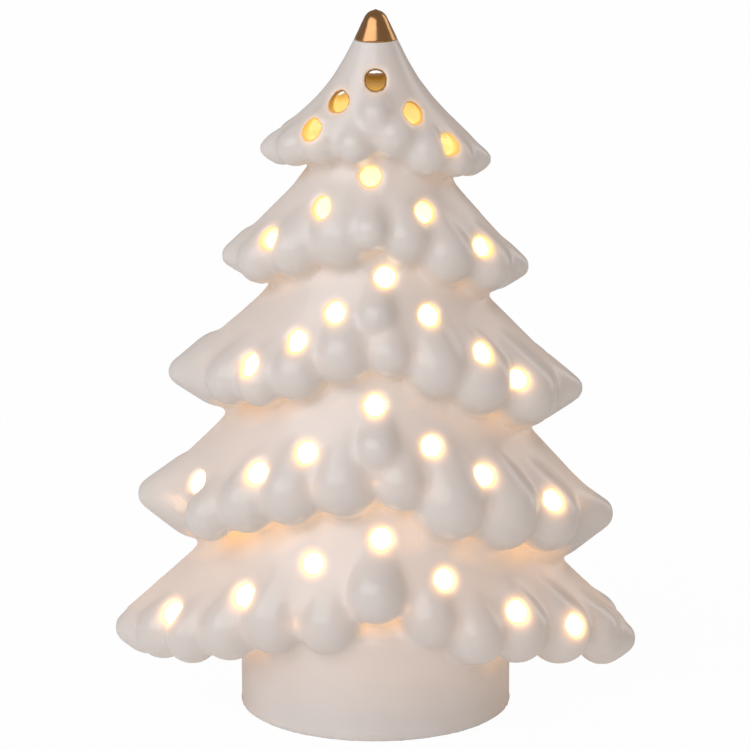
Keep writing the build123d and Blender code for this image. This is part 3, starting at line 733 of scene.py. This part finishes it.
def lit_resin():
    # clear epoxy over a lit warm-white chip: glassy skin, white core, amber rim
    material, tree, surface = new_material("lit_warm_resin")
    low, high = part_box("leds")
    place = node(tree, "ShaderNodeTexCoord").outputs["Object"]
    height = node(tree, "ShaderNodeSeparateXYZ", {0: place}).outputs["Z"]
    risen = node(tree, "ShaderNodeMapRange", {"Value": height, "From Min": low.z, "From Max": high.z})
    up = risen.outputs[0]
    glow = node(tree, "ShaderNodeValToRGB", {"Fac": up})
    set_stops(glow.color_ramp, DOME_LIGHT)
    surface.inputs["Base Color"].default_value = linear("F3DCAE")
    surface.inputs["Roughness"].default_value = 0.08
    tree.links.new(glow.outputs[0], surface.inputs["Emission Color"])
    surface.inputs["Emission Strength"].default_value = DOME_STRENGTH
    material.cycles.emission_sampling = "NONE"
    return material


def chip_resistor():
    # black-glazed ceramic chip: dull black face between two bright tinned ends
    material, tree, surface = new_material("chip_resistor")
    low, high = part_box("resistor")
    place = node(tree, "ShaderNodeTexCoord").outputs["Object"]
    along = node(tree, "ShaderNodeSeparateXYZ", {0: place}).outputs["X"]
    away = node(tree, "ShaderNodeMath", {0: along}, operation="ABSOLUTE").outputs[0]
    past_face = {0: away, 1: high.x - TINNED_END}
    tinned = node(tree, "ShaderNodeMath", past_face, operation="GREATER_THAN").outputs[0]
    grain = node(tree, "ShaderNodeTexNoise", {"Vector": place, "Scale": 1 / CHIP_GRAIN}).outputs["Fac"]
    face = node(tree, "ShaderNodeMix", {"Factor": grain, TONE_A: linear("1B1B1C"), TONE_B: linear("2A2A2B")},
                data_type="RGBA")
    tin_ends = {"Factor": tinned, TONE_A: face.outputs[TONE], TONE_B: linear("C8C7C3")}
    tint = node(tree, "ShaderNodeMix", tin_ends, data_type="RGBA")
    tree.links.new(tint.outputs[TONE], surface.inputs["Base Color"])
    tree.links.new(tinned, surface.inputs["Metallic"])
    surface.inputs["Roughness"].default_value = 0.4
    return material


finished(lit_resin(), "leds")
finished(chip_resistor(), "resistor")

# %% [markdown]
# ## The camera
# The photo was taken with a long lens a little above the tree. Camera height, focal length and the
# small shift were found by laying the CAD model's outline over the outline in the photo.

# %% Camera
ELEVATION = math.radians(14.55)
DISTANCE = 2.1
AIM = Vector((0, 0, 140 * MM))
FOCAL_LENGTH_PX = 5360
IMAGE_PX = 750
SENSOR = 36
MIDDLE_X_PX = 0.6
MIDDLE_Y_PX = 15.2

camera = bpy.data.cameras.new("camera")
camera_object = bpy.data.objects.new("camera", camera)
scene.collection.objects.link(camera_object)
scene.camera = camera_object
camera_object.location = AIM + DISTANCE * Vector((0, -math.cos(ELEVATION), math.sin(ELEVATION)))
camera_object.rotation_euler = (math.pi / 2 - ELEVATION, 0, 0)
camera.sensor_width = SENSOR
camera.lens = FOCAL_LENGTH_PX / IMAGE_PX * SENSOR
camera.shift_x = -MIDDLE_X_PX / IMAGE_PX
camera.shift_y = -MIDDLE_Y_PX / IMAGE_PX
print("lens:", round(camera.lens), "mm on a", SENSOR, "mm sensor")

# %% [markdown]
# ## The light in the studio
# One big softbox stands at the front left, a weak warm one fills in from the right and one lights the
# back. The gold mirrors the big one as its bright band and the dim room as its dark one. The fourth
# softbox, behind on the right, lights mirrors only: it draws the pale right edge of the gold and leaves
# the porcelain alone.

# %% Softboxes
LAMP_DISTANCE = 2.0


def facing_tree(made, azimuth, elevation, distance):
    """Puts a lamp round the tree and turns it there, in degrees from the front to the right and up."""
    turn, lift = math.radians(azimuth), math.radians(elevation)
    away = Vector((math.sin(turn) * math.cos(lift), -math.cos(turn) * math.cos(lift), math.sin(lift)))
    made.location = AIM + distance * away
    made.rotation_euler = (-away).to_track_quat("-Z", "Y").to_euler()


def softbox(name, azimuth, elevation, size, power):
    """A soft lamp: its place in degrees, its size in metres and its power in watts."""
    lamp = bpy.data.lights.new(name, "AREA")
    lamp.shape = "RECTANGLE"
    lamp.size, lamp.size_y = size
    lamp.energy = power
    made = bpy.data.objects.new(name, lamp)
    scene.collection.objects.link(made)
    facing_tree(made, azimuth, elevation, LAMP_DISTANCE)
    return made


key = softbox("key", -38, 32, (2.6, 1.6), 28)
key.data.color = linear("F5F9FF")[:3]
fill = softbox("fill", 50, 25, (1.2, 1.4), 3.4)
fill.data.color = linear("FFEADC")[:3]
fill.visible_glossy = False
back = softbox("back", 165, 35, (2.0, 1.6), 12)
back.visible_glossy = False
edge = softbox("edge", 118, 20, (0.8, 1.6), 6)
edge.visible_diffuse = False

# %% [markdown]
# ## Floor and room
# The photo has a pure white ground. The floor is a pale sheet that sends mostly plain white to the
# camera, so that it is as white as the room behind it and still keeps a trace of the foot's shadow. It
# lies a hair below the foot, because two faces in one plane flicker, and it is clear from below so that
# the lamp unit can be seen.

# %% Floor and world
FLOOR_HALF = 4.0
FLOOR_WHITE = 0.97
FLOOR_DROP = 0.1 * MM
ROOM_LIGHT = 0.38

sheet = bmesh.new()
bmesh.ops.create_grid(sheet, x_segments=1, y_segments=1, size=FLOOR_HALF)
bmesh.ops.translate(sheet, verts=sheet.verts, vec=(0, 0, -FLOOR_DROP))
floor = linked("floor", sheet)
floor_material, tree, surface = new_material("pale_floor")
surface.inputs["Base Color"].default_value = linear("F2F2F1")
surface.inputs["Roughness"].default_value = 0.9
paths = node(tree, "ShaderNodeLightPath")
seen = node(tree, "ShaderNodeMath", {0: paths.outputs["Is Camera Ray"], 1: FLOOR_WHITE},
            operation="MULTIPLY")
white = node(tree, "ShaderNodeEmission", {"Color": (1, 1, 1, 1), "Strength": 1.0})
blend = node(tree, "ShaderNodeMixShader", {0: seen.outputs[0], 1: surface.outputs[0], 2: white.outputs[0]})
underside = node(tree, "ShaderNodeNewGeometry").outputs["Backfacing"]
clear = node(tree, "ShaderNodeBsdfTransparent")
sided = node(tree, "ShaderNodeMixShader", {0: underside, 1: blend.outputs[0], 2: clear.outputs[0]})
tree.links.new(sided.outputs[0], tree.nodes["Material Output"].inputs["Surface"])
floor.data.materials.append(floor_material)

world = bpy.data.worlds.new("studio")
scene.world = world
world.use_nodes = True
tree = world.node_tree
room = tree.nodes["Background"]
room.inputs["Color"].default_value = linear("F4EFEA")
room.inputs["Strength"].default_value = ROOM_LIGHT
paths = node(tree, "ShaderNodeLightPath")
straight = {0: paths.outputs["Is Camera Ray"], 1: paths.outputs["Is Transmission Ray"]}
seen = node(tree, "ShaderNodeMath", straight, operation="MAXIMUM")
white = node(tree, "ShaderNodeBackground", {"Color": (1, 1, 1, 1), "Strength": 1.0})
blend = node(tree, "ShaderNodeMixShader", {0: seen.outputs[0], 1: room.outputs[0], 2: white.outputs[0]})
tree.links.new(blend.outputs[0], tree.nodes["World Output"].inputs["Surface"])
print("floor", 2 * FLOOR_HALF, "m wide")

# %% [markdown]
# ## A light for the underside
# The lamp unit sits in the foot, right on the floor, so from below it would be black. A softbox under
# the floor lights it. Light linking lets the light of this one lamp pass through the floor: the floor
# is excluded from the objects that block it. It is weak, so the front hardly changes.

# %% Softbox under the floor
under = softbox("under", 0, -88, (1.6, 1.6), 7)
under.visible_glossy = False
under.visible_camera = False
clear_for_under = bpy.data.collections.new("clear_for_under")
clear_for_under.objects.link(floor)
under.light_linking.blocker_collection = clear_for_under
clear_for_under.collection_objects[0].light_linking.link_state = "EXCLUDE"
print("under the floor:", under.name)
